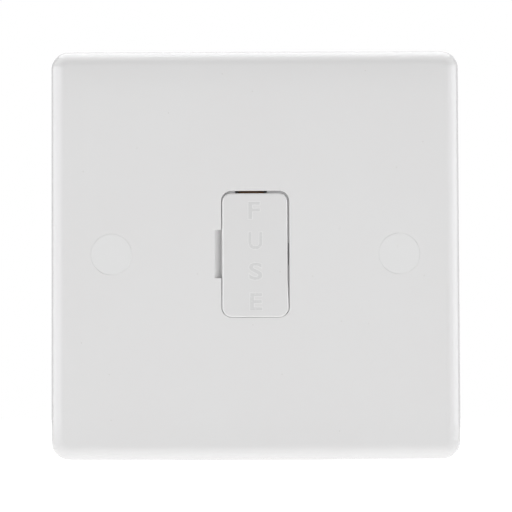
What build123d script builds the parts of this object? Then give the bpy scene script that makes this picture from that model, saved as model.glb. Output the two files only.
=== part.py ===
from build123d import *
import os

# Unswitched fused spur unit on a square moulded plate.
# Sizes are in millimetres. X runs to the right, Z up, and the front looks along -Y.
# The origin is the middle of the fixing holes, on the wall.
# A level is a height in front of the wall. Levels behind it, inside the wall box, are negative.

# Faceplate
plate_width = 86.0
plate_height = 86.0
plate_depth = 8.0
plate_edge_radius = 3.0
face_corner_radius = 0.8
plate_draft = 1.5
plate_skin = 2.8
rim_wall = 2.2
rim_inner_radius = 2.0
rib_wall = 1.2
rib_height = 3.2
side_rib_rise = 18.0
end_rib_reach = 20.0

# Fixing holes, with the recesses that the screw caps close
fixing_centres = 60.3
fixing_hole_diameter = 4.2
fixing_seat_diameter = 7.2
fixing_seat_angle = 90.0
recess_diameter = 8.6
recess_depth = 3.6
fixing_boss_wall = 1.9

# Screw caps
cap_clearance = 0.05
cap_disc = 1.1
cap_length = 2.9
cap_skirt_step = 0.3
cap_skirt_wall = 0.8
cap_slot_width = 1.2
cap_edge = 0.1

# Cartridge fuse
fuse_length = 25.4
fuse_diameter = 6.35
fuse_cap_length = 6.2
fuse_cap_wall = 0.275
fuse_cap_edge = 0.5
fuse_offset = -0.85

# Fuse carrier
carrier_width = 13.7
carrier_margin = 0.6
carrier_corner_radius = 1.9
carrier_face = 1.2
carrier_edge = 0.35
carrier_sag = 0.22
carrier_lean = 0.06
cradle_end_gap = 0.7
cradle_wall = 1.3
cradle_gap = 0.05
cradle_mouth = 4.4
web_wall = 1.4
arm_gap = 1.0
arm_wall = 1.2
arm_width = 3.6
barb_reach = 0.95
barb_length = 1.5
barb_clearance = 0.05
takeout_clearance = 2.5
pry_recess_depth = 1.0
pry_recess_height = 0.5

# Pocket in the plate that takes the carrier
pocket_gap = 0.27
seat_gap = 0.1
pocket_edge = 0.15
ledge_wall = 2.8
collar_wall = 2.4
guide_gap = 0.2
fuse_slot_gap = 0.12
latch_slot_depth = 1.6
notch_width = 1.45
notch_height = 10.1
notch_step = 0.25
notch_depth = 1.5

# Contact clips, straps and terminals
clip_width = 4.4
clip_gap = 0.15
clip_sheet = 0.6
clip_flare = 0.5
clip_flare_height = 1.1
clip_floor_gap = 1.3
clip_bend = 0.5
strap_thickness = 0.8
strap_width = 5.6
strap_end = 1.6
strap_corner_radius = 0.8
terminal_width = 8.0
terminal_length = 9.0
terminal_depth = 9.2
terminal_edge = 0.4
terminal_pitch = 15.0
terminal_row_gap = 5.0
spigot_diameter = 2.4
wire_hole_diameter = 4.2
wire_cover = 1.4

# Screws
terminal_screw_diameter = 3.5
terminal_screw_head = 5.2
terminal_screw_head_height = 1.8
terminal_screw_head_gap = 0.9
terminal_screw_head_edge = 0.3
terminal_screw_tip_gap = 0.2
screw_slot_width = 0.9
screw_slot_depth = 0.9
housing_screw_diameter = 2.9
housing_screw_head = 5.0
housing_screw_head_height = 2.0
housing_screw_head_edge = 0.7
housing_screw_recess = 0.4
housing_screw_clearance = 0.2
housing_screw_tip_gap = 0.4
housing_boss_length = 5.0
housing_pilot_depth = 4.2
pillar_diameter = 6.2

# Rear housing
housing_wall = 1.8
housing_floor_wall = 2.4
housing_inner_radius = 0.6
housing_back_edge = 1.0
housing_locating_gap = 0.2
locating_rib_height = 2.0
terminal_clearance = 0.2
terminal_pad_height = 0.6
partition_wall = 1.0
partition_drop = 1.0
chamber_margin = 1.0
running_gap = 0.3
wire_window = 6.4
wire_window_radius = 1.6
screw_access_diameter = 6.4
hold_down_diameter = 4.0
panel_recess = 0.6
panel_side_margin = 3.0
panel_row_margin = 2.0
panel_radius = 2.0

# Levels, from the front to the back
skin_level = plate_depth - plate_skin
carrier_back_level = plate_depth - carrier_face
pocket_level = carrier_back_level - seat_gap
ledge_level = pocket_level - ledge_wall
recess_level = plate_depth - recess_depth
ceramic_radius = fuse_diameter / 2 - fuse_cap_wall
cradle_bore_radius = ceramic_radius + cradle_gap
cradle_radius = cradle_bore_radius + cradle_wall
fuse_level = carrier_back_level - cradle_radius
carrier_travel = plate_depth - fuse_level + cradle_radius + takeout_clearance
barb_level = ledge_level - carrier_travel - barb_clearance
barb_end_level = barb_level - barb_length
strap_level = fuse_level - fuse_diameter / 2 - clip_floor_gap
terminal_front_level = strap_level - strap_thickness
wire_level = terminal_front_level - wire_cover - wire_hole_diameter / 2
terminal_back_level = terminal_front_level - terminal_depth
housing_floor_level = min(terminal_back_level, barb_end_level - running_gap) - terminal_pad_height
housing_back_level = housing_floor_level - housing_floor_wall
pillar_level = skin_level - housing_boss_length
partition_level = terminal_front_level - partition_drop
chamber_wall_level = ledge_level - running_gap

# Places across the plate
carrier_height = fuse_length + carrier_margin
cradle_width = fuse_length - 2 * (fuse_cap_length + cradle_end_gap)
pocket_width = carrier_width + 2 * pocket_gap
pocket_height = carrier_height + 2 * pocket_gap
pocket_radius = carrier_corner_radius + pocket_gap
web_right = fuse_offset + cradle_radius
web_left = web_right - web_wall
arm_left = web_right + arm_gap
arm_right = arm_left + arm_wall
arm_slot_right = arm_right + guide_gap
clip_row = (fuse_length - fuse_cap_length) / 2
terminal_row = fuse_length / 2 + terminal_row_gap + terminal_length / 2
cavity_width = 2 * terminal_pitch + terminal_width + 2 * terminal_clearance
cavity_height = 2 * terminal_row + terminal_length + 2 * terminal_clearance
housing_width = cavity_width + 2 * housing_wall
housing_height = cavity_height + 2 * housing_wall
locating_width = housing_width + 2 * housing_locating_gap
locating_height = housing_height + 2 * housing_locating_gap
housing_radius = housing_inner_radius + housing_wall
locating_radius = housing_radius + housing_locating_gap
row_wall_centre = terminal_row - terminal_length / 2 - terminal_clearance - partition_wall / 2
chamber_wall_centre = pocket_width / 2 + chamber_margin + partition_wall / 2
inner_partition = terminal_width / 2 + terminal_clearance + partition_wall / 2
outer_partition = terminal_pitch - inner_partition
partition_middle = (row_wall_centre + housing_height / 2) / 2
partition_length = housing_height / 2 - row_wall_centre
panel_width = housing_width - 2 * panel_side_margin
panel_height = 2 * (terminal_row - screw_access_diameter / 2 - panel_row_margin)
hollow_width = plate_width - 2 * rim_wall
hollow_height = plate_height - 2 * rim_wall

# Names and places of the six terminals: live in the middle, neutral left, earth right
terminals = {
    "terminal_live_load": (0, terminal_row),
    "terminal_neutral_load": (-terminal_pitch, terminal_row),
    "terminal_earth_load": (terminal_pitch, terminal_row),
    "terminal_live_supply": (0, -terminal_row),
    "terminal_neutral_supply": (-terminal_pitch, -terminal_row),
    "terminal_earth_supply": (terminal_pitch, -terminal_row),
}
terminal_places = list(terminals.values())


def level(height):
    """The sketch plane at this level, seen from the front: its x is X and its y is Z."""
    return Plane.XZ.offset(height)


def between(left, right, low, high):
    """A rectangle with these edges, in the sketch that is open."""
    with Locations(((left + right) / 2, (low + high) / 2)):
        Rectangle(right - left, high - low)


def keep(piece, name):
    """Names a finished piece and writes its file."""
    piece.part.label = name
    export_step(piece.part, f"parts/{name}.step")


os.makedirs("parts", exist_ok=True)

# Faceplate: drafted slab with a rounded front, hollowed from behind
with BuildPart() as faceplate:
    with BuildSketch(level(0)):
        RectangleRounded(plate_width, plate_height, plate_edge_radius + face_corner_radius)
    extrude(amount=plate_depth, taper=plate_draft)
    fillet(faceplate.faces().sort_by(Axis.Y)[0].edges(), plate_edge_radius)
    with BuildSketch(level(0)):
        RectangleRounded(hollow_width, hollow_height, rim_inner_radius)
    extrude(amount=skin_level, taper=plate_draft, mode=Mode.SUBTRACT)

    # Collar that thickens the plate round the carrier's pocket
    with BuildSketch(level(ledge_level)):
        RectangleRounded(
            pocket_width + 2 * collar_wall, pocket_height + 2 * collar_wall, pocket_radius + collar_wall
        )
    extrude(amount=skin_level - ledge_level)

    # Bosses of the fixing holes reach back to the wall
    with BuildSketch(level(0)):
        with GridLocations(fixing_centres, 0, 2, 1):
            Circle(recess_diameter / 2 + fixing_boss_wall)
    extrude(amount=skin_level)

    # Low wall that the rear housing sits in, and the ribs from it out to the rim
    with BuildSketch(level(skin_level - locating_rib_height)):
        RectangleRounded(
            locating_width + 2 * rib_wall, locating_height + 2 * rib_wall, locating_radius + rib_wall
        )
        RectangleRounded(locating_width, locating_height, locating_radius, mode=Mode.SUBTRACT)
    extrude(amount=locating_rib_height)
    with BuildSketch(level(skin_level - rib_height)):
        side_rib_length = (plate_width - rim_wall - locating_width) / 2
        end_rib_length = (plate_height - rim_wall - locating_height) / 2
        with GridLocations(locating_width + side_rib_length, 2 * side_rib_rise, 2, 2):
            Rectangle(side_rib_length, rib_wall)
        with GridLocations(2 * end_rib_reach, locating_height + end_rib_length, 2, 2):
            Rectangle(rib_wall, end_rib_length)
        with GridLocations(locating_width + side_rib_length, 0, 2, 1):
            Rectangle(side_rib_length, rib_wall)
    extrude(amount=rib_height)

    # Bosses for the housing screws, and posts that hold the straps down on the terminals
    with BuildSketch(level(pillar_level)):
        with GridLocations(terminal_pitch, 2 * terminal_row, 2, 2):
            Circle(pillar_diameter / 2)
            Circle(housing_screw_diameter / 2, mode=Mode.SUBTRACT)
    extrude(amount=housing_pilot_depth)
    with BuildSketch(level(pillar_level + housing_pilot_depth)):
        with GridLocations(terminal_pitch, 2 * terminal_row, 2, 2):
            Circle(pillar_diameter / 2)
    extrude(amount=housing_boss_length - housing_pilot_depth)
    with BuildSketch(level(strap_level)):
        with GridLocations(terminal_pitch, 2 * terminal_row, 3, 2):
            Circle(hold_down_diameter / 2)
    extrude(amount=skin_level - strap_level)

    # Pocket for the carrier's face
    with BuildSketch(level(plate_depth)):
        RectangleRounded(pocket_width, pocket_height, pocket_radius)
    extrude(amount=pocket_level - plate_depth, mode=Mode.SUBTRACT)
    pocket_rim = faceplate.faces().sort_by(Axis.Y)[0].inner_wires()[0]
    fillet(pocket_rim.edges(), pocket_edge)

    # Way through the ledge for the fuse, the cradle and the latch arm
    with BuildSketch(level(pocket_level)):
        with Locations((fuse_offset, 0)):
            Rectangle(fuse_diameter + 2 * fuse_slot_gap, pocket_height)
        cradle_half = cradle_width / 2 + carrier_sag + guide_gap
        between(fuse_offset - cradle_radius - guide_gap, web_right + guide_gap, -cradle_half, cradle_half)
        arm_half = arm_width / 2 + carrier_sag + guide_gap
        between(web_right, arm_slot_right, -arm_half, arm_half)
    extrude(amount=-ledge_wall, mode=Mode.SUBTRACT)

    # Blind slot beside the arm, out to the pocket's right wall: the barb catches behind what is left
    with BuildSketch(level(pocket_level)):
        between(arm_right, pocket_width / 2, -arm_half, arm_half)
    extrude(amount=-latch_slot_depth, mode=Mode.SUBTRACT)

    # Screwdriver notch that ramps down to the carrier's left edge
    with BuildSketch(Plane.XY):
        with BuildLine():
            notch_left = -pocket_width / 2 - notch_width
            Polyline(
                (notch_left, -plate_depth),
                (notch_left, notch_step - plate_depth),
                (-pocket_width / 2, notch_depth - plate_depth),
                (-pocket_width / 2 + pocket_edge, notch_depth - plate_depth),
                (-pocket_width / 2 + pocket_edge, -plate_depth),
                close=True,
            )
        make_face()
    extrude(amount=notch_height / 2, both=True, mode=Mode.SUBTRACT)

    # Recesses and countersunk holes for the fixing screws
    with BuildSketch(level(plate_depth)):
        with GridLocations(fixing_centres, 0, 2, 1):
            Circle(recess_diameter / 2)
    extrude(amount=-recess_depth, mode=Mode.SUBTRACT)
    with Locations(level(recess_level)):
        with GridLocations(fixing_centres, 0, 2, 1):
            CounterSinkHole(
                fixing_hole_diameter / 2, fixing_seat_diameter / 2, recess_level, fixing_seat_angle
            )
keep(faceplate, "faceplate")

# Rear housing: a tray that opens to the front, with pockets for terminals and the fuse chamber
with BuildPart() as rear_housing:
    with BuildSketch(level(housing_back_level)):
        RectangleRounded(housing_width, housing_height, housing_radius)
    extrude(amount=skin_level - housing_back_level)
    fillet(rear_housing.faces().sort_by(Axis.Y)[-1].edges(), housing_back_edge)
    with BuildSketch(level(housing_floor_level)):
        RectangleRounded(cavity_width, cavity_height, housing_inner_radius)
    extrude(amount=skin_level - housing_floor_level, mode=Mode.SUBTRACT)

    # Pads under the terminals and pedestals under the clips
    with BuildSketch(level(housing_floor_level)):
        with Locations(*terminal_places):
            Rectangle(terminal_width, terminal_length)
    extrude(amount=terminal_back_level - housing_floor_level)
    with BuildSketch(level(housing_floor_level)):
        with Locations((fuse_offset, clip_row), (fuse_offset, -clip_row)):
            Rectangle(strap_width, clip_width)
    extrude(amount=terminal_front_level - housing_floor_level)

    # Walls between the terminals, and the two walls of the fuse chamber
    with BuildSketch(level(housing_floor_level)):
        with GridLocations(0, 2 * row_wall_centre, 1, 2):
            Rectangle(cavity_width + housing_wall, partition_wall)
        with GridLocations(2 * inner_partition, 2 * partition_middle, 2, 2):
            Rectangle(partition_wall, partition_length - housing_wall / 2)
        with GridLocations(2 * outer_partition, 2 * partition_middle, 2, 2):
            Rectangle(partition_wall, partition_length - housing_wall / 2)
    extrude(amount=partition_level - housing_floor_level)
    with BuildSketch(level(housing_floor_level)):
        with GridLocations(2 * chamber_wall_centre, 0, 2, 1):
            Rectangle(partition_wall, 2 * row_wall_centre)
    extrude(amount=chamber_wall_level - housing_floor_level)

    # Pillars that meet the plate's bosses, with counterbored screw holes
    with BuildSketch(level(housing_floor_level)):
        with GridLocations(terminal_pitch, 2 * terminal_row, 2, 2):
            Circle(pillar_diameter / 2)
    extrude(amount=pillar_level - housing_floor_level)
    with Locations(level(housing_back_level).rotated((180, 0, 0))):
        with GridLocations(terminal_pitch, 2 * terminal_row, 2, 2):
            CounterBoreHole(
                housing_screw_diameter / 2 + housing_screw_clearance,
                housing_screw_head / 2 + housing_screw_clearance,
                housing_screw_head_height + housing_screw_recess,
                pillar_level - housing_back_level,
            )

    # Sunk panel in the middle of the back, between the two rows of driver holes
    with BuildSketch(level(housing_back_level)):
        RectangleRounded(panel_width, panel_height, panel_radius)
    extrude(amount=panel_recess, mode=Mode.SUBTRACT)

    # Driver holes behind the terminal screws, and wire windows in the top and bottom walls
    with BuildSketch(level(housing_back_level)):
        with Locations(*terminal_places):
            Circle(screw_access_diameter / 2)
    extrude(amount=terminal_back_level - housing_back_level, mode=Mode.SUBTRACT)
    for side in (1, -1):
        with BuildSketch(Plane.XY.offset(side * cavity_height / 2)):
            with Locations(
                (0, -wire_level), (terminal_pitch, -wire_level), (-terminal_pitch, -wire_level)
            ):
                RectangleRounded(wire_window, wire_window, wire_window_radius)
        extrude(amount=side * housing_wall, mode=Mode.SUBTRACT)
keep(rear_housing, "rear_housing")

# Fuse carrier: face, C-shaped cradle on a web, and a sprung latch arm.
# Its face hangs a little low and left in the pocket, as a loose fit does.
with BuildPart() as fuse_carrier:
    with BuildSketch(level(carrier_back_level)):
        with Locations((-carrier_lean, -carrier_sag)):
            RectangleRounded(carrier_width, carrier_height, carrier_corner_radius)
    extrude(amount=carrier_face)
    fillet(fuse_carrier.faces().sort_by(Axis.Y)[0].edges(), carrier_edge)

    # Section across the fuse: the cradle opens to the left
    with BuildSketch(Plane.XY.offset(-carrier_sag)):
        with Locations((fuse_offset, -fuse_level)):
            Circle(cradle_radius)
        between(web_left, web_right, -carrier_back_level, -barb_end_level)
        between(fuse_offset - cradle_mouth / 2, web_right, -carrier_back_level, -fuse_level)
        with Locations((fuse_offset, -fuse_level)):
            Circle(cradle_bore_radius, mode=Mode.SUBTRACT)
        with Locations((fuse_offset - cradle_radius, -fuse_level)):
            Rectangle(2 * cradle_radius, cradle_mouth, mode=Mode.SUBTRACT)
    extrude(amount=cradle_width / 2, both=True)

    # Latch arm with a barb that ramps at its end and stops square at its front
    with BuildSketch(Plane.XY.offset(-carrier_sag)):
        with BuildLine():
            Polyline(
                (arm_left, -carrier_back_level),
                (arm_right, -carrier_back_level),
                (arm_right, -barb_level),
                (arm_right + barb_reach, -barb_level),
                (arm_right, -barb_end_level),
                (arm_left, -barb_end_level),
                close=True,
            )
        make_face()
    extrude(amount=arm_width / 2, both=True)

    # Undercut behind the left edge, for the screwdriver's tip
    with BuildSketch(Plane.XY.offset(-carrier_sag)):
        carrier_left = -carrier_width / 2 - carrier_lean
        between(
            carrier_left,
            carrier_left + pry_recess_depth,
            -carrier_back_level - pry_recess_height,
            -carrier_back_level,
        )
    extrude(amount=notch_height / 2, both=True, mode=Mode.SUBTRACT)
keep(fuse_carrier, "fuse_carrier")

# Cartridge fuse: ceramic barrel and two drawn end caps
ceramic_length = fuse_length - 2 * fuse_cap_wall
with BuildPart() as fuse_body:
    with BuildSketch(Plane.XY.offset(-carrier_sag)):
        with Locations((fuse_offset, -fuse_level)):
            Circle(ceramic_radius)
    extrude(amount=ceramic_length / 2, both=True)
keep(fuse_body, "fuse_body")

for cap_name, side in (("fuse_cap_upper", 1), ("fuse_cap_lower", -1)):
    with BuildPart() as fuse_cap:
        with BuildSketch(Plane.XY.offset(side * fuse_length / 2 - carrier_sag)):
            with Locations((fuse_offset, -fuse_level)):
                Circle(fuse_diameter / 2)
        extrude(amount=-side * fuse_cap_length)
        fillet(fuse_cap.edges().sort_by(Axis.Z)[-1 if side > 0 else 0], fuse_cap_edge)
        with BuildSketch(Plane.XY.offset(side * ceramic_length / 2 - carrier_sag)):
            with Locations((fuse_offset, -fuse_level)):
                Circle(ceramic_radius)
        extrude(amount=-side * fuse_cap_length, mode=Mode.SUBTRACT)
    keep(fuse_cap, cap_name)

# Contact clips: two flared leaves on a strap that runs out to the live terminal
leaf_inner = fuse_offset + fuse_diameter / 2 + clip_gap
leaf_outer = leaf_inner + clip_sheet
leaf_top_level = chamber_wall_level
for clip_name, side in (("fuse_clip_load", 1), ("fuse_clip_supply", -1)):
    with BuildPart() as fuse_clip:
        with BuildSketch(Plane.XY.offset(side * clip_row)):
            with BuildLine():
                Polyline(
                    (leaf_inner, -terminal_front_level),
                    (leaf_outer, -terminal_front_level),
                    (leaf_outer, clip_flare_height - leaf_top_level),
                    (leaf_outer + clip_flare, -leaf_top_level),
                    (leaf_inner + clip_flare, -leaf_top_level),
                    (leaf_inner, clip_flare_height - leaf_top_level),
                    close=True,
                )
            make_face()
            mirror(about=Plane.YZ.offset(fuse_offset))
            with Locations((fuse_offset, -(strap_level + terminal_front_level) / 2)):
                Rectangle(2 * (leaf_inner - fuse_offset), strap_thickness)
        extrude(amount=clip_width / 2, both=True)
        fillet(fuse_clip.edges().filter_by(Axis.Z).group_by(Axis.Y)[-1], clip_bend)
        with BuildSketch(level(terminal_front_level)):
            strap_tip = terminal_row + spigot_diameter / 2 + strap_end
            with Locations((fuse_offset, side * (clip_row + strap_tip) / 2)):
                RectangleRounded(strap_width, strap_tip - clip_row, strap_corner_radius)
            with Locations((0, side * terminal_row)):
                Circle(spigot_diameter / 2, mode=Mode.SUBTRACT)
        extrude(amount=strap_thickness)
    keep(fuse_clip, clip_name)

# Links that join supply to load on the neutral and the earth side
for link_name, side in (("link_neutral", -1), ("link_earth", 1)):
    with BuildPart() as link:
        with BuildSketch(level(terminal_front_level)):
            with Locations((side * terminal_pitch, 0)):
                RectangleRounded(strap_width, 2 * strap_tip, strap_corner_radius)
                with GridLocations(0, 2 * terminal_row, 1, 2):
                    Circle(spigot_diameter / 2, mode=Mode.SUBTRACT)
        extrude(amount=strap_thickness)
    keep(link, link_name)

# Terminal blocks: wire hole along Z, screw hole from behind, spigot staked through the strap
for terminal_name, (across, up) in terminals.items():
    with BuildPart() as terminal:
        with BuildSketch(level(terminal_back_level)):
            with Locations((across, up)):
                Rectangle(terminal_width, terminal_length)
        extrude(amount=terminal_depth)
        chamfer(terminal.edges().filter_by(Axis.Y), terminal_edge)
        with BuildSketch(level(terminal_front_level)):
            with Locations((across, up)):
                Circle(spigot_diameter / 2)
        extrude(amount=strap_thickness)
        with BuildSketch(Plane.XY.offset(up)):
            with Locations((across, -wire_level)):
                Circle(wire_hole_diameter / 2)
        extrude(amount=terminal_length / 2, both=True, mode=Mode.SUBTRACT)
        with BuildSketch(level(terminal_back_level)):
            with Locations((across, up)):
                Circle(terminal_screw_diameter / 2)
        extrude(amount=wire_level - terminal_back_level, mode=Mode.SUBTRACT)
    keep(terminal, terminal_name)

# Clamping screws, backed out so that every wire hole is open
screw_tip_level = wire_level - wire_hole_diameter / 2 - terminal_screw_tip_gap
screw_shoulder_level = terminal_back_level - terminal_screw_head_gap
screw_top_level = screw_shoulder_level - terminal_screw_head_height
with BuildPart() as terminal_screws:
    with BuildSketch(level(screw_shoulder_level)):
        with Locations(*terminal_places):
            Circle(terminal_screw_diameter / 2)
    extrude(amount=screw_tip_level - screw_shoulder_level)
    with BuildSketch(level(screw_top_level)):
        with Locations(*terminal_places):
            Circle(terminal_screw_head / 2)
    extrude(amount=terminal_screw_head_height)
    chamfer(terminal_screws.edges().group_by(Axis.Y)[-1], terminal_screw_head_edge)
    with BuildSketch(level(screw_top_level)):
        with Locations(*terminal_places):
            Rectangle(terminal_screw_head, screw_slot_width)
    extrude(amount=screw_slot_depth, mode=Mode.SUBTRACT)
keep(terminal_screws, "terminal_screws")

# Housing screws, up through the pillars into the plate's bosses
housing_screw_top_level = housing_back_level + housing_screw_recess
housing_screw_seat_level = housing_screw_top_level + housing_screw_head_height
housing_screw_tip_level = pillar_level + housing_pilot_depth - housing_screw_tip_gap
with BuildPart() as housing_screws:
    with BuildSketch(level(housing_screw_seat_level)):
        with GridLocations(terminal_pitch, 2 * terminal_row, 2, 2):
            Circle(housing_screw_diameter / 2)
    extrude(amount=housing_screw_tip_level - housing_screw_seat_level)
    with BuildSketch(level(housing_screw_top_level)):
        with GridLocations(terminal_pitch, 2 * terminal_row, 2, 2):
            Circle(housing_screw_head / 2)
    extrude(amount=housing_screw_head_height)
    fillet(housing_screws.edges().group_by(Axis.Y)[-1], housing_screw_head_edge)
    with BuildSketch(level(housing_screw_top_level)):
        with GridLocations(terminal_pitch, 2 * terminal_row, 2, 2):
            Rectangle(housing_screw_head / 2, screw_slot_width)
            Rectangle(screw_slot_width, housing_screw_head / 2)
    extrude(amount=screw_slot_depth, mode=Mode.SUBTRACT)
keep(housing_screws, "housing_screws")

# Screw caps: a flush disc on a skirt that four slots make springy
cap_radius = recess_diameter / 2 - cap_clearance
skirt_radius = cap_radius - cap_skirt_step
for cap_name, side in (("screw_cap_left", -1), ("screw_cap_right", 1)):
    with BuildPart() as screw_cap:
        cap_centre = (side * fixing_centres / 2, 0)
        with BuildSketch(level(plate_depth)):
            with Locations(cap_centre):
                Circle(cap_radius)
        extrude(amount=-cap_disc)
        fillet(screw_cap.edges().sort_by(Axis.Y)[0], cap_edge)
        with BuildSketch(level(plate_depth - cap_disc)):
            with Locations(cap_centre):
                Circle(skirt_radius)
                Circle(skirt_radius - cap_skirt_wall, mode=Mode.SUBTRACT)
                Rectangle(2 * skirt_radius, cap_slot_width, mode=Mode.SUBTRACT)
                Rectangle(cap_slot_width, 2 * skirt_radius, mode=Mode.SUBTRACT)
        extrude(amount=cap_disc - cap_length)
    keep(screw_cap, cap_name)
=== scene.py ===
# %% [markdown]
# # A fused spur unit, dressed around its CAD frame
# The unit is an unswitched fused connection unit: a glossy white plate, 86 mm square, with a
# pull-out fuse carrier in the middle and a push-in cap over each fixing screw. The CAD frame
# gives every solid in metres, front towards -Y and Z up. Loading it first means that each
# finish and each new piece goes where the CAD says, with no fitting by eye.

# %% Load the frame and measure it
from math import cos, pi, radians, sin

import bpy
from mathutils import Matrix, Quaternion, Vector


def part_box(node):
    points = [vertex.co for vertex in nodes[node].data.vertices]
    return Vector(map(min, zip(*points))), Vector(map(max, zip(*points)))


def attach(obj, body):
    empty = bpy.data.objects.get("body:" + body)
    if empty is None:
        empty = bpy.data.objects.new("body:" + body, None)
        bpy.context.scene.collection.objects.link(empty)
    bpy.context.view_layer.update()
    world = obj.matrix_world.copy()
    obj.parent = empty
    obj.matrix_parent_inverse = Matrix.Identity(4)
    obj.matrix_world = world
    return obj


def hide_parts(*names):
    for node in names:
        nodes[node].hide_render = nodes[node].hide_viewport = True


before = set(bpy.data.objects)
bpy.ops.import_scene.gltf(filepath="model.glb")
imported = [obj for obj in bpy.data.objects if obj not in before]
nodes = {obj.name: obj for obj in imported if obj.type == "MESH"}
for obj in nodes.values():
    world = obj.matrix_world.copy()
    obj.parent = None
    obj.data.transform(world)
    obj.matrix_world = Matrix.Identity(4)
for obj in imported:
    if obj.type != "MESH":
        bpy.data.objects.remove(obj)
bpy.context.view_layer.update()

plate_low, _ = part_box("faceplate")
face_y = plate_low.y

# %% [markdown]
# Blender works in metres here and a moulding is drawn in millimetres, so one function turns
# millimetres into metres. A second one clears the selection and makes one object active,
# because every operator acts on all that is selected, and the CAD nodes come in selected.


# %% Two helpers: millimetres, and one active object
def mm(value):
    """Millimetres as Blender's metres."""
    return value / 1000


def only(piece):
    """Selects this object alone and makes it the active one."""
    if bpy.context.object and bpy.context.object.mode == "EDIT":
        bpy.ops.object.mode_set(mode="OBJECT")
    bpy.ops.object.select_all(action="DESELECT")
    piece.select_set(True)
    bpy.context.view_layer.objects.active = piece
    return piece


# %% [markdown]
# ## Camera
# The unit is seen straight from the front with a long lens, from a little below its middle
# and with a slight turn of the camera. A lens of about 200 mm keeps the plate's sides out of
# sight and its outline nearly square. The aim point sits a fraction of a millimetre off the
# plate's middle, which places the unit in the frame without any lens shift.

# %% Camera
camera_distance = 0.600
camera_elevation = radians(-2.95)
camera_roll = radians(-0.225)
aim = Vector((mm(0.13), mm(-4.0), mm(-0.22)))

camera_data = bpy.data.cameras.new("camera")
camera_data.sensor_width = 36.0
camera_data.lens = 200.2
camera = bpy.data.objects.new("camera", camera_data)
bpy.context.scene.collection.objects.link(camera)
towards_camera = Vector((0, -cos(camera_elevation), sin(camera_elevation)))
camera.location = aim + camera_distance * towards_camera
camera.rotation_mode = "QUATERNION"
look = (-towards_camera).to_track_quat("-Z", "Y")
camera.rotation_quaternion = look @ Quaternion((0, 0, 1), camera_roll)
bpy.context.scene.camera = camera
print("camera at", [round(v, 4) for v in camera.location])

# %% [markdown]
# ## Nodes and colours
# Every finish below is a small node tree. One function turns a written sRGB colour into the
# linear values that shaders use, one adds a node with its settings and links, and one opens a
# material with its shader and its Object coordinates. A pattern's scale is its real size in
# millimetres turned into repeats per metre.


# %% Helpers for colours and nodes
def linear(code):
    """An sRGB hex colour as linear red, green, blue and alpha."""
    parts = [int(code[i : i + 2], 16) / 255 for i in (1, 3, 5)]
    return [c / 12.92 if c <= 0.04045 else ((c + 0.055) / 1.055) ** 2.4 for c in parts] + [1.0]


def per_metre(size_mm):
    """A pattern's size in millimetres as a texture scale."""
    return 1000 / size_mm


def add(tree, kind, inputs=None, **settings):
    """Adds a node: settings are its own values, inputs are sockets' values or links."""
    made = tree.nodes.new("ShaderNode" + kind)
    for name, value in settings.items():
        setattr(made, name, value)
    for name, value in (inputs or {}).items():
        if isinstance(value, bpy.types.NodeSocket):
            tree.links.new(value, made.inputs[name])
        else:
            made.inputs[name].default_value = value
    return made


def open_material(name, **sockets):
    """A new material's tree, its Principled shader with these constants, and its coordinates."""
    print("material", name)
    material = bpy.data.materials.new(name)
    material.use_nodes = True
    tree = material.node_tree
    tree.nodes.clear()
    shader = add(tree, "BsdfPrincipled", sockets)
    add(tree, "OutputMaterial", {"Surface": shader.outputs["BSDF"]})
    place = add(tree, "TexCoord").outputs["Object"]
    return material, tree, shader, place


# %% [markdown]
# ## Studio
# A glossy white moulding shows its shape by what it mirrors. The rounded left and right edges
# mirror a wide soft box on each side, the top edge a long one overhead, the flat face a pale
# card in front, and the bottom corners two cards that lie on the table. A soft box could be
# one lamp, but then how much it lights and how bright it looks in the gloss are one number.
# Here each box is a lamp that lights and, at the same place, a card that only reflections
# see. A lamp's power is its radiance times pi times its area, so both numbers are radiances,
# and 1 looks white.


# %% Soft boxes and cards
def card(name, outline, bright, fade=(2.0, 3.0), above=0.0, paper="#FBFBFF"):
    """A card that only reflections see. Between the fade's two heights it dims to its level above."""
    mesh = bpy.data.meshes.new(name)
    mesh.from_pydata([Vector(corner) for corner in outline], [], [(0, 1, 2, 3)])
    made = bpy.data.objects.new(name, mesh)
    bpy.context.scene.collection.objects.link(made)
    made.visible_camera = made.visible_diffuse = made.visible_shadow = False
    material = bpy.data.materials.new(name + "_paper")
    material.use_nodes = True
    tree = material.node_tree
    tree.nodes.clear()
    height = add(tree, "SeparateXYZ", {"Vector": add(tree, "TexCoord").outputs["Object"]}).outputs["Z"]
    ends = {"From Min": fade[0], "From Max": fade[1], "To Min": bright, "To Max": above}
    level = add(tree, "MapRange", {"Value": height, **ends}).outputs["Result"]
    glow = add(tree, "Emission", {"Color": linear(paper), "Strength": level})
    add(tree, "OutputMaterial", {"Surface": glow.outputs["Emission"]})
    mesh.materials.append(material)


def soft_box(name, across, up, distance, size, lit, seen):
    """A lamp at these angles from the plate's front, in degrees, and its card, by their radiances."""
    across, up = radians(across), radians(up)
    width, height = size
    towards = Vector((sin(across) * cos(up), -cos(across) * cos(up), sin(up)))
    turn = towards.to_track_quat("Z", "Y")
    lamp = bpy.data.lights.new(name, "AREA")
    lamp.shape = "RECTANGLE"
    lamp.size, lamp.size_y = size
    lamp.energy = lit * pi * width * height
    box = bpy.data.objects.new(name, lamp)
    bpy.context.scene.collection.objects.link(box)
    box.location = distance * towards
    box.rotation_euler = turn.to_euler()
    box.visible_camera = box.visible_glossy = False
    if seen:
        halves = ((-0.5, -0.5), (0.5, -0.5), (0.5, 0.5), (-0.5, 0.5))
        outline = [box.location + turn @ Vector((u * width, v * height, 0)) for u, v in halves]
        card(name + "_card", outline, seen)
    print(name, "lit", lit, "seen", seen, "power", round(lamp.energy, 2), "W")


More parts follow.
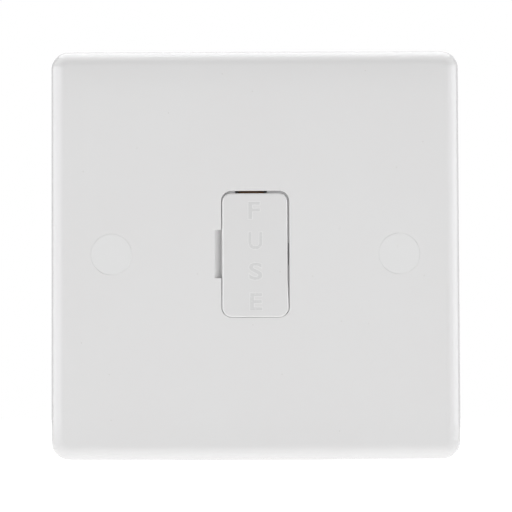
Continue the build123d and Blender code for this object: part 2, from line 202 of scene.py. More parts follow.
soft_box("soft_box_left", -75, 7, 0.45, (0.68, 0.22), 0.45, 3.0)
soft_box("soft_box_left_halo", -66, 6, 0.55, (1.14, 0.23), 0.31, 1.7)
soft_box("soft_box_right", 84, 7, 0.45, (0.36, 0.22), 0.53, 3.4)
soft_box("soft_box_right_halo", 72, 6, 0.55, (0.99, 0.23), 0.42, 2.25)
soft_box("soft_box_top", 0, 92, 0.60, (0.80, 0.36), 3.0, 0)
soft_box("soft_box_top_line", 0, 100, 0.60, (0.80, 0.59), 0.86, 2.6)
soft_box("soft_box_front", 0, 12, 1.00, (0.60, 0.40), 1.6, 0)

# Outlines in metres. The last two are for the right side and are mirrored for the left.
in_front = ((-0.9, -0.66, -0.04), (0.9, -0.66, -0.04), (0.9, -0.66, 0.78), (-0.9, -0.66, 0.78))
behind = ((0.55, 0.26, -0.04), (0.25, 0.6, -0.04), (0.25, 0.6, 0.5), (0.55, 0.26, 0.5))
beside = ((0.05, -0.12), (0.17, -0.12), (0.17, 0.03), (0.05, 0.03))
table_z = plate_low.z - mm(0.1)
foot_bright = 1.6
card("card_front", in_front, 1.35, fade=(0.109, 0.119), above=0.25, paper="#FFFFFF")
for side, word, edge_bright in ((-1, "left", 0.45), (1, "right", 0.6)):
    card(f"card_edge_{word}", [(side * x, y, z) for x, y, z in behind], edge_bright)
    card(f"card_foot_{word}", [(side * x, y, table_z) for x, y in beside], foot_bright)

# %% [markdown]
# ## Floor and backdrop
# The unit stands on a light table in front of an endless white backdrop. The backdrop is the
# world: it is white where the camera, a reflection or glass looks at it, and a dim fill for
# everything else. The table is a matt sheet that glows, a little more where it is looked at.
# Right under the unit it glows less, because that is where the unit shades it: the glow alone
# would wash out the shadow at its foot.

# %% Floor and backdrop
fill_level = 0.216
floor_size = 3.0
floor_drop = mm(0.2)
floor_glow = 0.05
table_light = 0.95
foot_light = 0.75


def seen_directly(tree):
    """1 for camera, glossy and transmission rays, otherwise 0."""
    path = add(tree, "LightPath").outputs
    seen = path["Is Camera Ray"]
    for ray in ("Is Glossy Ray", "Is Transmission Ray"):
        seen = add(tree, "Math", {0: seen, 1: path[ray]}, operation="MAXIMUM").outputs[0]
    return seen


world = bpy.data.worlds.new("white_backdrop")
world.use_nodes = True
tree = world.node_tree
tree.nodes.clear()
level = add(tree, "MapRange", {"Value": seen_directly(tree), "To Min": fill_level, "To Max": 1.0})
sky = add(tree, "Background", {"Color": linear("#FFFFFF"), "Strength": level.outputs["Result"]})
add(tree, "OutputWorld", {"Surface": sky.outputs["Background"]})
bpy.context.scene.world = world

bpy.ops.object.select_all(action="DESELECT")
bpy.ops.mesh.primitive_plane_add(size=floor_size, location=(0, 0, plate_low.z - floor_drop))
floor = bpy.context.object
floor.name = "floor"
floor_paint = bpy.data.materials.new("matt_floor_paint")
floor_paint.use_nodes = True
tree = floor_paint.node_tree
tree.nodes.clear()
terms = {0: seen_directly(tree), 1: floor_glow, 2: table_light}
glow = add(tree, "Math", terms, operation="MULTIPLY_ADD")
# The shaded patch fades out at its sides, its front and its back, between these places in mm.
spot = add(tree, "SeparateXYZ", {"Vector": add(tree, "TexCoord").outputs["Object"]}).outputs
aside = add(tree, "Math", {0: spot["X"]}, operation="ABSOLUTE").outputs[0]
under = 1.0
for place, outside, inside in ((aside, 46, 38), (spot["Y"], -6.5, -4.5), (spot["Y"], 30, 3)):
    near = add(tree, "MapRange", {"Value": place, "From Min": mm(outside), "From Max": mm(inside)})
    under = add(tree, "Math", {0: near.outputs["Result"], 1: under}, operation="MULTIPLY").outputs[0]
lit = add(tree, "MapRange", {"Value": under, "To Min": 1.0, "To Max": foot_light})
strength = add(tree, "Math", {0: glow.outputs[0], 1: lit.outputs["Result"]}, operation="MULTIPLY")
matt = add(tree, "BsdfDiffuse", {"Color": linear("#A0A0A0")})
shine = add(tree, "Emission", {"Color": linear("#FFFFFF"), "Strength": strength.outputs[0]})
both = add(tree, "AddShader", {0: matt.outputs["BSDF"], 1: shine.outputs["Emission"]})
add(tree, "OutputMaterial", {"Surface": both.outputs["Shader"]})
floor.data.materials.append(floor_paint)
bpy.context.scene.view_settings.view_transform = "Standard"
print("floor at", round(1000 * floor.location.z, 2), "mm")

# %% [markdown]
# ## White moulded urea
# The plate, the carrier and the caps are pressed from white urea resin in polished steel
# tools. That gives a hard, even gloss, a white that is slightly grey under studio light, and
# on close view a faint ripple from the tool and a few grains of dust. One function makes the
# batches for the plate, the carrier and the caps, and a brighter white that is a painted
# highlight on rounded rims and letter lips, because only their tint differs. The dust lies on
# the front alone, so its pattern is flat and a mask keeps it to the face.


# %% Material: white urea
def white_urea(name, tints):
    """Moulded white urea between these two tints, with a tool's ripple and a little dust."""
    material, tree, shader, place = open_material(name, IOR=1.56)
    cloud = add(tree, "TexNoise", {"Vector": place, "Scale": per_metre(22), "Detail": 2.0})
    colours = {"A": linear(tints[0]), "B": linear(tints[1])}
    tone = add(tree, "Mix", {"Factor": cloud.outputs["Fac"], **colours}, data_type="RGBA")
    # Grains of dust: dots of 0.2 mm in cells of 6 mm, and 86 cells of 100 have none.
    clean_share = 0.86
    upright = add(tree, "Mapping", {"Vector": place, "Rotation": (pi / 2, 0, 0)})
    cells = add(
        tree,
        "TexVoronoi",
        {"Vector": upright.outputs["Vector"], "Scale": per_metre(6)},
        voronoi_dimensions="2D",
    )
    edge = {"From Min": 0.010, "From Max": 0.022, "To Min": 1.0, "To Max": 0.0}
    dot = add(tree, "MapRange", {"Value": cells.outputs["Distance"], **edge})
    chosen = add(tree, "SeparateColor", {"Color": cells.outputs["Color"]})
    some = add(tree, "Math", {0: chosen.outputs["Red"], 1: clean_share}, operation="GREATER_THAN")
    depth = add(tree, "SeparateXYZ", {"Vector": place})
    front = add(tree, "Math", {0: depth.outputs["Y"], 1: face_y + mm(0.02)}, operation="LESS_THAN")
    grain = dot.outputs["Result"]
    for mask in (some, front):
        grain = add(tree, "Math", {0: grain, 1: mask.outputs[0]}, operation="MULTIPLY").outputs[0]
    colours = {"A": tone.outputs[2], "B": linear("#CAC8C5")}
    dusty = add(tree, "Mix", {"Factor": grain, **colours}, data_type="RGBA")
    tree.links.new(dusty.outputs[2], shader.inputs["Base Color"])
    # Gloss: handling leaves slightly duller patches about 12 mm across.
    touch = add(tree, "TexNoise", {"Vector": place, "Scale": per_metre(12), "Detail": 3.0})
    gloss = add(tree, "MapRange", {"Value": touch.outputs["Fac"], "To Min": 0.05, "To Max": 0.10})
    tree.links.new(gloss.outputs["Result"], shader.inputs["Roughness"])
    # Ripple: the tool's polish, about 2.5 mm from crest to crest and a few microns high.
    ripple = add(tree, "TexNoise", {"Vector": place, "Scale": per_metre(2.5), "Detail": 1.0})
    bump = add(tree, "Bump", {"Height": ripple.outputs["Fac"], "Strength": 0.08, "Distance": mm(0.03)})
    tree.links.new(bump.outputs["Normal"], shader.inputs["Normal"])
    return material


urea = white_urea("white_moulded_urea", ("#DCDBDB", "#DEDEDE"))
urea_carrier = white_urea("white_moulded_urea_carrier", ("#DAD9D9", "#DADADA"))
# A brighter white: a painted highlight for rounded rims and letter lips.
urea_painted_highlight = white_urea("white_moulded_urea_painted_highlight", ("#F0F0F0", "#F4F4F4"))
urea_cap = white_urea("white_moulded_urea_cap", ("#DEDEDE", "#DFDFDF"))

# %% [markdown]
# ## Etched letters
# The letters' floors are etched in the tool, so they come out duller than the glossy face
# round them, and their colour is painted a shade darker, as painted shade in the sunk strokes.
# That is all that makes the word readable, white on white.

# %% Material: etched urea
etched_with_painted_shade, tree, shader, place = open_material("etched_urea_with_painted_shade", IOR=1.56)
grain = add(tree, "TexNoise", {"Vector": place, "Scale": per_metre(0.3), "Detail": 2.0}).outputs["Fac"]
# Painted shade: the floors' colour is a shade darker than the face round them.
colours = {"A": linear("#D1D1D1"), "B": linear("#D3D3D3")}
tone = add(tree, "Mix", {"Factor": grain, **colours}, data_type="RGBA")
tree.links.new(tone.outputs[2], shader.inputs["Base Color"])
dull = add(tree, "MapRange", {"Value": grain, "To Min": 0.15, "To Max": 0.35})
tree.links.new(dull.outputs["Result"], shader.inputs["Roughness"])

# %% [markdown]
# ## Spark-textured nylon
# The rear housing is off-white nylon. Its tool is spark eroded, which leaves a fine, dull
# grain, and nylon goes a little yellow and uneven. The real grain is about 0.1 mm; it is drawn
# at 0.4 mm here, with slightly darker pits, so that it shows in a render of the whole unit.

# %% Material: spark-textured nylon
nylon, tree, shader, place = open_material("spark_textured_nylon", IOR=1.53)
cloud = add(tree, "TexNoise", {"Vector": place, "Scale": per_metre(9), "Detail": 4.0})
colours = {"A": linear("#CFCDC2"), "B": linear("#DBD9D0")}
tone = add(tree, "Mix", {"Factor": cloud.outputs["Fac"], **colours}, data_type="RGBA")
fine = {"Vector": place, "Scale": per_metre(0.4), "Detail": 2.0, "Roughness": 0.6}
spark = add(tree, "TexNoise", fine).outputs["Fac"]
pits = add(tree, "MapRange", {"Value": spark, "From Min": 0.35, "From Max": 0.65})
colours = {"A": linear("#CCCABF"), "B": tone.outputs[2]}
pitted = add(tree, "Mix", {"Factor": pits.outputs["Result"], **colours}, data_type="RGBA")
tree.links.new(pitted.outputs[2], shader.inputs["Base Color"])
dull = add(tree, "MapRange", {"Value": spark, "To Min": 0.42, "To Max": 0.62})
tree.links.new(dull.outputs["Result"], shader.inputs["Roughness"])
bump = add(tree, "Bump", {"Height": spark, "Strength": 0.6, "Distance": mm(0.12)})
tree.links.new(bump.outputs["Normal"], shader.inputs["Normal"])

# %% [markdown]
# ## Metals
# Four metals do the electrical work: brass blocks sawn from drawn bar, bronze strip that is
# rolled, nickel on the fuse's caps and bright zinc on the screws. What tells them apart, apart
# from colour, is the mark of how each was made. Drawn and rolled metal has fine lines along
# one direction, plating is smooth with soft clouds. One function draws both, with the lines'
# direction and size given by a stretch of the pattern along X, Y and Z, in millimetres.


# %% Material: metals
def metal(name, tints, stretch, roughness, relief):
    """A metal between two tints, with marks of these sizes along X, Y and Z, in millimetres."""
    material, tree, shader, place = open_material(name, Metallic=1.0)
    sized = add(tree, "Mapping", {"Vector": place, "Scale": [per_metre(size) for size in stretch]})
    pattern = {"Vector": sized.outputs["Vector"], "Scale": 1.0, "Detail": 4.0}
    marks = add(tree, "TexNoise", pattern).outputs["Fac"]
    colours = {"A": linear(tints[0]), "B": linear(tints[1])}
    tone = add(tree, "Mix", {"Factor": marks, **colours}, data_type="RGBA")
    tree.links.new(tone.outputs[2], shader.inputs["Base Color"])
    ends = {"From Min": 0.3, "From Max": 0.7, "To Min": roughness[0], "To Max": roughness[1]}
    sheen = add(tree, "MapRange", {"Value": marks, **ends})
    tree.links.new(sheen.outputs["Result"], shader.inputs["Roughness"])
    bump = add(tree, "Bump", {"Height": marks, "Strength": relief, "Distance": mm(0.02)})
    tree.links.new(bump.outputs["Normal"], shader.inputs["Normal"])
    return material


brass = metal("drawn_brass", ("#B58F45", "#D0AE68"), (0.25, 0.25, 9.0), (0.22, 0.40), 0.30)
bronze = metal("rolled_phosphor_bronze", ("#A9754A", "#C4915F"), (0.2, 6.0, 6.0), (0.24, 0.40), 0.20)
nickel = metal("bright_nickel_plate", ("#B9B4A8", "#CDC9BF"), (3.0, 3.0, 3.0), (0.10, 0.24), 0.05)
zinc = metal("bright_zinc_plate", ("#AEB3BA", "#C9CDD3"), (1.2, 1.2, 1.2), (0.22, 0.42), 0.15)

# %% [markdown]
# ## Steatite
# The fuse's barrel is fired steatite without glaze: a warm white, dull, with fine dark specks
# from the clay. Three patterns are enough: one for the cloudy body, one for the specks, and a
# fine one that makes the surface dull.

# %% Material: unglazed steatite
steatite, tree, shader, place = open_material("unglazed_steatite", IOR=1.55)
cloud = add(tree, "TexNoise", {"Vector": place, "Scale": per_metre(4), "Detail": 3.0})
colours = {"A": linear("#D9D0BD"), "B": linear("#E8E1D2")}
tone = add(tree, "Mix", {"Factor": cloud.outputs["Fac"], **colours}, data_type="RGBA")
cells = add(tree, "TexVoronoi", {"Vector": place, "Scale": per_metre(0.9)})
edge = {"From Min": 0.10, "From Max": 0.18, "To Min": 0.5, "To Max": 0.0}
speck = add(tree, "MapRange", {"Value": cells.outputs["Distance"], **edge})
colours = {"A": tone.outputs[2], "B": linear("#A79B86")}
fired = add(tree, "Mix", {"Factor": speck.outputs["Result"], **colours}, data_type="RGBA")
tree.links.new(fired.outputs[2], shader.inputs["Base Color"])
grain = add(tree, "TexNoise", {"Vector": place, "Scale": per_metre(0.3), "Detail": 2.0}).outputs["Fac"]
dull = add(tree, "MapRange", {"Value": grain, "To Min": 0.5, "To Max": 0.7})
tree.links.new(dull.outputs["Result"], shader.inputs["Roughness"])
bump = add(tree, "Bump", {"Height": grain, "Strength": 0.3, "Distance": mm(0.02)})
tree.links.new(bump.outputs["Normal"], shader.inputs["Normal"])

# %% [markdown]
# ## Working on copies of the CAD solids
# A CAD node is never changed. Where the real piece has more than its solid, such as engraved
# letters or broken edges, the piece starts as a copy of the node's mesh and stands for it.
# That keeps it exactly in its place. The copy comes in as loose triangles, so it is merged
# and its flat faces are joined before anything is cut or bevelled.


# %% Helpers for new pieces
def merged_copy(node, name):
    """A new object from a CAD node's mesh, merged and with its flat faces joined."""
    piece = bpy.data.objects.new(name, nodes[node].data.copy())
    bpy.context.scene.collection.objects.link(piece)
    only(piece)
    bpy.ops.object.mode_set(mode="EDIT")
    bpy.ops.mesh.select_all(action="SELECT")
    bpy.ops.mesh.remove_doubles(threshold=mm(0.001))
    bpy.ops.mesh.dissolve_limited(angle_limit=radians(0.3))
    bpy.ops.object.mode_set(mode="OBJECT")
    bpy.ops.mesh.customdata_custom_splitnormals_clear()
    return piece


def use(piece, kind, **settings):
    """Adds a modifier with these settings and applies it."""
    only(piece)
    step = piece.modifiers.new(kind.lower(), kind)
    for name, value in settings.items():
        setattr(step, name, value)
    bpy.ops.object.modifier_apply(modifier=step.name)
    return piece


def shade(piece):
    """Shades rounded surfaces smooth and leaves flat faces flat."""
    only(piece)
    bpy.ops.object.shade_smooth_by_angle(angle=radians(30))
    return use(piece, "WEIGHTED_NORMAL", keep_sharp=True)


def bevel(piece, width_mm):
    """Breaks the sharp edges by this width."""
    sharp = {"limit_method": "ANGLE", "angle_limit": radians(35)}
    return use(piece, "BEVEL", width=mm(width_mm), segments=2, **sharp)


def soften(piece, width_mm):
    """Breaks the sharp edges and shades the piece smooth."""
    return shade(bevel(piece, width_mm))


def settle(piece, body, slot, material, *replaced):
    """Gives the piece its finish, its body and the CAD nodes that it stands for."""
    if piece.data.materials:
        piece.data.materials[0] = material
    else:
        piece.data.materials.append(material)
    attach(piece, body)
    if replaced:
        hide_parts(*replaced)
    print(piece.name, len(piece.data.polygons), "faces, on", body)
    return piece


def pick(piece, kind, wanted):
    """Opens the piece in edit mode with only the faces or the edges that pass a test selected."""
    only(piece)
    bpy.ops.object.mode_set(mode="EDIT")
    bpy.ops.mesh.select_mode(type=kind)
    bpy.ops.mesh.select_all(action="DESELECT")
    bpy.ops.object.mode_set(mode="OBJECT")
    for item in piece.data.polygons if kind == "FACE" else piece.data.edges:
        item.select = wanted(item)
    bpy.ops.object.mode_set(mode="EDIT")


def corners(piece):
    """The lowest and the highest corner of a mesh."""
    points = [vertex.co for vertex in piece.data.vertices]
    return [Vector([end(point[i] for point in points) for i in range(3)]) for end in (min, max)]


# %% [markdown]
# ## The word on the fuse carrier
# The carrier says what is behind it in four plain capitals, one under the other, sunk a few
# hundredths of a millimetre into its face. The letters could be a bump pattern, but then
# their edges would not catch the light and the exported model would lose them. Here each
# letter is a solid of text, fitted to its width and height, and booleans cut it out of the
# carrier's copy twice: wide and shallow for a lip round the stroke, which takes a painted
# highlight in a brighter white, then narrow and deep for its floor. Before that, the flange is
# fitted to its pocket as the moulded one sits there: a little to the left, low, flared towards
# its lower end, and tucked in at the corners so that it clears the pocket's own.


# %% Letters as solids
def letter(text, left, right, base, height, front, depth, swell=0.014):
    """Text as a solid that reads from the front, fitted between these edges, in millimetres."""
    bpy.ops.object.select_all(action="DESELECT")
    bpy.ops.object.text_add(rotation=(pi / 2, 0, 0))
    made = bpy.context.object
    made.data.body = text
    made.data.extrude = 0.1
    made.data.offset = swell
    made.data.resolution_u = 6
    bpy.ops.object.convert(target="MESH")
    bpy.ops.object.transform_apply(location=True, rotation=True, scale=True)
    low, high = corners(made)
    span = high - low
    made.scale = (mm(right - left) / span.x, mm(depth) / span.y, mm(height) / span.z)
    bpy.ops.object.transform_apply(location=False, rotation=False, scale=True)
    low, _ = corners(made)
    made.location = (mm(left) - low.x, mm(front) - low.y, mm(base) - low.z)
    bpy.ops.object.transform_apply(location=True, rotation=False, scale=False)
    only(made)
    bpy.ops.object.mode_set(mode="EDIT")
    bpy.ops.mesh.select_all(action="SELECT")
    bpy.ops.mesh.remove_doubles(threshold=mm(0.004))
    bpy.ops.mesh.normals_make_consistent(inside=False)
    bpy.ops.object.mode_set(mode="OBJECT")
    return made


def paint_rim_highlight(piece, depth, wanted):
    """Gives the rim this far behind the face, in millimetres, where its normal passes a test, a
    painted highlight in a brighter white.
    """
    piece.data.materials.append(urea_painted_highlight)
    count = 0
    for face in piece.data.polygons:
        if face.material_index == 0 and face.center.y < face_y + mm(depth) and wanted(face.normal):
            face.material_index = len(piece.data.materials) - 1
            count += 1
    print(piece.name, count, "rim faces polished")


# %% The engraved carrier
edge_break = 0.04
flange_back = face_y + mm(1.25)
flange_grow, flange_centre = (1.0018, 1, 1.0021), (mm(20.5), 0, mm(7.2))
flare_from, flare_end = mm(-5.0), mm(-11.0)
flare, flare_centre = (1.021, 1, 1), (mm(-4.5), 0, 0)
corner_end = mm(-12.0)
tuck, tuck_centre = (0.984, 1, 1), (0, 0, 0)
rim_depth = 0.3

carrier = bevel(merged_copy("fuse_carrier", "engraved_fuse_carrier"), edge_break)
pick(carrier, "FACE", lambda face: face.center.y < flange_back)
bpy.ops.transform.resize(value=flange_grow, center_override=flange_centre)
bpy.ops.mesh.bisect(plane_co=(0, 0, flare_from), plane_no=(0, 0, 1), threshold=mm(0.0005))
for end, stretch, centre in ((flare_end, flare, flare_centre), (corner_end, tuck, tuck_centre)):
    pick(carrier, "FACE", lambda face: face.center.y < flange_back and face.center.z < end)
    bpy.ops.transform.resize(value=stretch, center_override=centre)
bpy.ops.object.mode_set(mode="OBJECT")

# Each letter's left and right edge and its base, and each cut's lip, depth, swell and finish, in mm
letter_height = 3.65
letter_edges = {
    "F": (-1.47, 1.01, 7.33),
    "U": (-1.47, 1.49, 0.97),
    "S": (-1.39, 1.49, -5.45),
    "E": (-1.18, 1.45, -11.83),
}
# The lip cut carries the painted highlight, the floor cut the etched finish with its painted shade.
letter_cuts = ((0.05, 0.02, 0.034, urea_painted_highlight), (0, 0.06, 0.024, etched_with_painted_shade))
cut = {"operation": "DIFFERENCE", "solver": "EXACT", "material_mode": "TRANSFER"}
for text, (left, right, base) in letter_edges.items():
    for lip, depth, swell, finish in letter_cuts:
        sides = left - lip, right + lip, base - lip, letter_height + 2 * lip
        cutter = letter(text, *sides, 1000 * face_y - depth, 2 * depth, swell)
        cutter.data.materials.append(finish)
        use(carrier, "BOOLEAN", object=cutter, **cut)
        bpy.data.objects.remove(cutter)


def side_rim(normal):
    """Whether a rounded rim's normal points half to a side or down."""
    return 0.3 < max(abs(normal.x), -normal.z) < 0.75


shade(carrier)
settle(carrier, "carrier", "white_urea", urea_carrier, "fuse_carrier")
# The rounded rims at the sides and below get a painted highlight.
paint_rim_highlight(carrier, rim_depth, side_rim)

# %% [markdown]
# ## Screw caps
# The two caps are pressed into their recesses and close them flush, so that only a hair line
# shows. A cap's disc is a little wider than its skirt because it is what seals the recess.
# The CAD solid leaves a running gap for the slide. Here each copy's disc is widened until it
# all but touches the recess, which is how the pressed cap sits. Its rim, except below, is
# flattened nearly level with the face and given a painted highlight in a brighter white, so
# that the seam is darkest below.

# %% Caps that close their recesses
recess_radius = mm(4.3)
seam = mm(0.016)
rim_depth, rim_squash = 0.12, 0.4


def upper_rim(normal):
    """Whether a rounded rim's normal points anywhere but down."""
    return -0.75 < normal.y < -0.05 and normal.z > -0.6 * normal.xz.length


for side in ("left", "right"):
    cap = merged_copy(f"screw_cap_{side}", f"flush_screw_cap_{side}")
    low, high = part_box(f"screw_cap_{side}")
    widen = (recess_radius - seam) / ((high.x - low.x) / 2)
    only(cap)
    bpy.ops.object.mode_set(mode="EDIT")
    bpy.ops.mesh.select_all(action="SELECT")
    bpy.ops.transform.resize(value=(widen, 1, widen), center_override=(low + high) / 2)
    bpy.ops.object.mode_set(mode="OBJECT")
    settle(cap, f"cap_{side}", "white_urea", urea_cap, f"screw_cap_{side}")
    # The rim, except below, gets a painted highlight, and those faces are then flattened.
    paint_rim_highlight(cap, rim_depth, upper_rim)
    pick(cap, "FACE", lambda face: face.material_index > 0)
    bpy.ops.transform.resize(value=(1, rim_squash, 1), center_override=(0, face_y, 0))
    bpy.ops.object.mode_set(mode="OBJECT")
    shade(cap)

# %% [markdown]
# ## Screws
# The six clamping screws have slotted cheese heads, and the four that hold the housing have
# pan heads with a cross. Each kind is modelled once along Y and copied. A head is a cylinder
# with its rim bevelled and the driver's slot cut out by a boolean. The thread is one tooth
# swept by the Screw modifier and cut square at both ends, so it is a true helix.


# %% A threaded rod
def threaded_rod(name, major, minor, pitch, back, front):
    """A thread along Y between these two places, all in millimetres."""
    length = back - front
    start = 1.013 * pitch  # the ends are cut between the thread's vertices, never through one
    root, crest = minor / 2, major / 2
    tooth = [(root, 0), (crest, 0.40 * pitch), (crest, 0.55 * pitch), (root, pitch)]
    mesh = bpy.data.meshes.new(name)
    mesh.from_pydata([(mm(r), 0, mm(z)) for r, z in tooth], [(0, 1), (1, 2), (2, 3)], [])
    rod = bpy.data.objects.new(name, mesh)
    bpy.context.scene.collection.objects.link(rod)
    helix = {"angle": 2 * pi, "screw_offset": mm(pitch), "iterations": int(length / pitch) + 3}
    use(rod, "SCREW", steps=20, render_steps=20, **helix)
    bpy.ops.object.mode_set(mode="EDIT")
    bpy.ops.mesh.select_all(action="SELECT")
    bpy.ops.mesh.remove_doubles(threshold=mm(0.002))
    for cut, lower in ((start, True), (start + length, False)):
        bpy.ops.mesh.select_all(action="SELECT")
        bpy.ops.mesh.bisect(
            plane_co=(0, 0, mm(cut)),
            plane_no=(0, 0, 1),
            use_fill=True,
            clear_inner=lower,
            clear_outer=not lower,
            threshold=mm(0.0005),
        )
    bpy.ops.mesh.select_all(action="SELECT")
    bpy.ops.mesh.normals_make_consistent(inside=False)
    bpy.ops.object.mode_set(mode="OBJECT")
    rod.rotation_euler = (-pi / 2, 0, 0)
    rod.location = (0, mm(front - start), 0)
    bpy.ops.object.transform_apply(location=True, rotation=True, scale=True)
    return rod


def screw_head(radius, rim, back, front):
    """A head along Y between these two places, with its back rim bevelled, in millimetres."""
    bpy.ops.object.select_all(action="DESELECT")
    bpy.ops.mesh.primitive_cylinder_add(
        vertices=48,
        radius=mm(radius),
        depth=mm(back - front),
        location=(0, mm((back + front) / 2), 0),
        rotation=(-pi / 2, 0, 0),
    )
    head = bpy.context.object
    bpy.ops.object.transform_apply(location=True, rotation=True, scale=True)
    points = head.data.vertices
    pick(head, "EDGE", lambda edge: all(points[i].co.y > mm(back - 0.01) for i in edge.vertices))
    bpy.ops.mesh.bevel(offset=mm(rim), segments=5, affect="EDGES")
    bpy.ops.object.mode_set(mode="OBJECT")
    return head


def cut_slot(head, length, width, back, depth, turn, taper):
    """Cuts a driver's slot into the head's back; taper is its floor's size beside its mouth."""
    bpy.ops.object.select_all(action="DESELECT")
    bpy.ops.mesh.primitive_cube_add(size=1, location=(0, mm(back), 0), rotation=(0, turn, 0))
    blade = bpy.context.object
    blade.scale = (mm(length), mm(2 * depth), mm(width))
    bpy.ops.object.transform_apply(location=True, rotation=True, scale=True)
    pick(blade, "FACE", lambda face: face.normal.y < -0.9)
    bpy.ops.transform.resize(value=(taper, 1, taper), center_override=(0, mm(back), 0))
    bpy.ops.object.mode_set(mode="OBJECT")
    use(head, "BOOLEAN", operation="DIFFERENCE", object=blade, solver="EXACT")
    bpy.data.objects.remove(blade)


def joined(first, second, name):
    """Two objects as one piece with this name."""
    only(first)
    second.select_set(True)
    bpy.ops.object.join()
    first.name = first.data.name = name
    return first


def place_copies(piece, places, turns, body, slot, material, *replaced):
    """Puts a copy of the piece, with its own mesh, at each place, turned about Y by these degrees."""
    for number, ((across, up), turn) in enumerate(zip(places, turns), 1):
        copy = bpy.data.objects.new(f"{piece.name}_{number}", piece.data.copy())
        bpy.context.scene.collection.objects.link(copy)
        only(copy)
        copy.location = (across, 0, up)
        copy.rotation_euler = (0, radians(turn), 0)
        bpy.ops.object.transform_apply(location=True, rotation=True, scale=True)
        settle(copy, body, slot, material, *replaced)
    bpy.data.objects.remove(piece)


# %% Clamping screws
low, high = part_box("terminal_screws")
head_radius, head_height, head_rim = 2.6, 1.8, 0.3
slot_length, slot_width, slot_depth = 6.0, 0.9, 0.9
major, minor, pitch = 3.45, 2.8, 0.6
overlap, head_break = 0.1, 0.05
turns = (12, 71, -38, 55, -9, 27)

tip, top = 1000 * low.y, 1000 * high.y
head = screw_head(head_radius, head_rim, top, top - head_height)
cut_slot(head, slot_length, slot_width, top, slot_depth, turn=0, taper=1.0)
soften(head, head_break)
shank = top - head_height + overlap
rod = threaded_rod("clamping_screw_thread", major, minor, pitch, shank, tip)
clamping_screw = joined(head, rod, "clamping_screw")
reach = high - Vector((mm(head_radius), 0, mm(head_radius)))
places = [(across * reach.x, up * reach.z) for up in (1, -1) for across in (-1, 0, 1)]
place_copies(clamping_screw, places, turns, "plate", "zinc_steel", zinc, "terminal_screws")

# %% Housing screws
low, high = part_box("housing_screws")
head_radius, head_height, head_rim = 2.5, 2.0, 0.7
slot_length, slot_width, slot_depth, slot_taper = 2.9, 0.75, 1.1, 0.55
major, minor, pitch = 2.85, 2.1, 1.1
turns = (20, -33, 61, 5)

tip, top = 1000 * low.y, 1000 * high.y
head = screw_head(head_radius, head_rim, top, top - head_height)
for turn in (0, pi / 2):
    cut_slot(head, slot_length, slot_width, top, slot_depth, turn, slot_taper)
soften(head, head_break)
shank = top - head_height + overlap
rod = threaded_rod("housing_screw_thread", major, minor, pitch, shank, tip)
housing_screw = joined(head, rod, "housing_screw")
reach = high - Vector((mm(head_radius), 0, mm(head_radius)))
places = [(across * reach.x, up * reach.z) for up in (1, -1) for across in (-1, 1)]
place_copies(housing_screw, places, turns, "plate", "zinc_steel", zinc, "housing_screws")

# %% [markdown]
# ## Fuse caps
# A cartridge fuse has drawn caps with a rounded end, and a groove rolled in near the open rim
# that grips the barrel. The section is a line of a few points, and spinning it round the
# fuse's axis gives the cap. The lower cap is the same section turned over.


# %% Spun fuse caps
cap_wall, cap_bend = mm(0.275), mm(0.5)
# The groove and the rim: how far from the rim, and how deep under the outside, in millimetres
groove = ((1.9, 0), (1.7, 0.06), (1.5, 0.1), (1.3, 0.1), (1.1, 0.06), (0.9, 0), (0.12, 0), (0, 0.08))


def spun_cap(node, side):
    """A drawn cap round the axis of this node; side is 1 for the upper and -1 for the lower."""
    low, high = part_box(node)
    middle = (low + high) / 2
    end, rim = (high.z, low.z) if side > 0 else (low.z, high.z)
    radius = (high.x - low.x) / 2
    inner, floor_z = radius - cap_wall, end - side * cap_wall
    section = [(0.0, end)]
    for step in range(7):
        angle = radians(90 - 15 * step)
        out, down = cap_bend * (1 - cos(angle)), cap_bend * (1 - sin(angle))
        section.append((radius - out, end - side * down))
    for back, sink in groove:
        section.append((radius - mm(sink), rim + side * mm(back)))
    section += [(inner, rim), (inner, floor_z), (0.0, floor_z)]
    mesh = bpy.data.meshes.new("grooved_" + node)
    points = [(middle.x + r, middle.y, z) for r, z in section]
    mesh.from_pydata(points, [(i, i + 1) for i in range(len(points) - 1)], [])
    cap = bpy.data.objects.new("grooved_" + node, mesh)
    bpy.context.scene.collection.objects.link(cap)
    only(cap)
    bpy.ops.object.mode_set(mode="EDIT")
    bpy.ops.mesh.select_all(action="SELECT")
    bpy.ops.mesh.spin(steps=48, angle=2 * pi, center=(middle.x, middle.y, 0), axis=(0, 0, 1))
    bpy.ops.mesh.select_all(action="SELECT")
    bpy.ops.mesh.remove_doubles(threshold=mm(0.002))
    bpy.ops.mesh.normals_make_consistent(inside=False)
    bpy.ops.object.mode_set(mode="OBJECT")
    bpy.ops.object.shade_smooth_by_angle(angle=radians(40))
    return settle(cap, "carrier", "nickel_plate", nickel, node)


spun_cap("fuse_cap_upper", 1)
spun_cap("fuse_cap_lower", -1)
nodes["fuse_body"].data.materials[0] = steatite

# %% [markdown]
# ## Brass and bronze
# The terminal blocks, the links and the contact clips are tumbled after cutting, so their
# edges are slightly round and show as fine bright lines. The CAD solids have the right shape
# and only their edges are too sharp, so each gets a softened copy.

# %% Softened terminals, links and clips
block_edge, strip_edge = 0.12, 0.08
for name in sorted(nodes):
    if name.startswith(("terminal_live", "terminal_neutral", "terminal_earth", "link_")):
        tumbled = soften(merged_copy(name, "tumbled_" + name), block_edge)
        settle(tumbled, "plate", "brass", brass, name)
    if name.startswith("fuse_clip"):
        tumbled = soften(merged_copy(name, "tumbled_" + name), strip_edge)
        settle(tumbled, "plate", "spring_bronze", bronze, name)

# %% [markdown]
# ## Rear housing
# The housing is what an electrician sees: terminals behind round driver holes, and raised
# marks that say which is which. The housing is a softened copy of its solid. The marks stand
# on the sunk panel between the rows, lower than the rim round it. They are plain text made
# into solids and turned to be read from behind.

# %% The housing and its marks
housing_edge = 0.15
panel_recess = 0.6
mark_height, mark_rise, mark_root = 2.4, 0.35, 0.1
letter_up, letter_width, letter_pitch = 13.6, 1.9, 15.0
word_up = 9.4

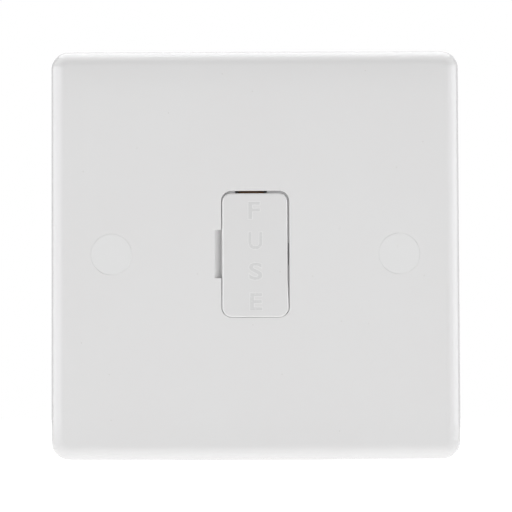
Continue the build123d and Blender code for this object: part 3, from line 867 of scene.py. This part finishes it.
housing = soften(merged_copy("rear_housing", "marked_rear_housing"), housing_edge)
_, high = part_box("rear_housing")
panel_y = 1000 * high.y - panel_recess
marks = []
for up in (1, -1):
    for text, across in (("N", -letter_pitch), ("L", 0.0), ("E", letter_pitch)):
        marks.append((text, across, up * letter_up, letter_width))
marks += [("LOAD", 0.0, word_up, 7.4), ("SUPPLY", 0.0, -word_up, 11.2)]
for text, across, up, width in marks:
    sides = -width / 2, width / 2, -mark_height / 2, mark_height
    mark = letter(text, *sides, -mark_rise, mark_rise + mark_root)
    mark.rotation_euler = (0, 0, pi)
    mark.location = (mm(across), mm(panel_y), mm(up))
    only(mark)
    bpy.ops.object.transform_apply(location=True, rotation=True, scale=True)
    joined(housing, mark, housing.name)
settle(housing, "plate", "housing_nylon", nylon, "rear_housing")

# %% [markdown]
# ## Faceplate
# The plate keeps its CAD solid: its drafted sides and rounded front are already there, and
# its smooth normals carry the soft boxes' reflections cleanly. Its back gets what the press
# leaves there: a low round pad wherever an ejector pin pushed the moulding out of the tool.
# They could be painted as rings, but a pad that stands up a little catches the light from
# any side. One is made from a cylinder and copied into the cells between the ribs.

# %% The plate's finish and its ejector pads
nodes["faceplate"].data.materials[0] = urea
pad_radius, pad_rise, pad_sunk = 2.0, 0.2, 0.05
pad_rim, pad_dish, pad_edge = 0.35, 0.1, 0.05
plate_wall = 2.8
inner_y = 1000 * face_y + plate_wall
bpy.ops.object.select_all(action="DESELECT")
bpy.ops.mesh.primitive_cylinder_add(
    vertices=40,
    radius=mm(pad_radius),
    depth=mm(pad_rise + pad_sunk),
    location=(0, mm(inner_y + (pad_rise - pad_sunk) / 2), 0),
    rotation=(-pi / 2, 0, 0),
)
pad = bpy.context.object
pad.name = pad.data.name = "ejector_pad"
bpy.ops.object.transform_apply(location=True, rotation=True, scale=True)
pick(pad, "FACE", lambda face: face.normal.y > 0.9)
bpy.ops.mesh.inset(thickness=mm(pad_rim))
bpy.ops.transform.translate(value=(0, -mm(pad_dish), 0))
bpy.ops.object.mode_set(mode="OBJECT")
soften(pad, pad_edge)
cells = ((31.0, 29.5), (10.0, 36.0), (33.0, 12.3))
places = [(mm(side * x), mm(end * z)) for x, z in cells for side in (-1, 1) for end in (-1, 1)]
place_copies(pad, places, [0] * len(places), "plate", "white_urea", urea)
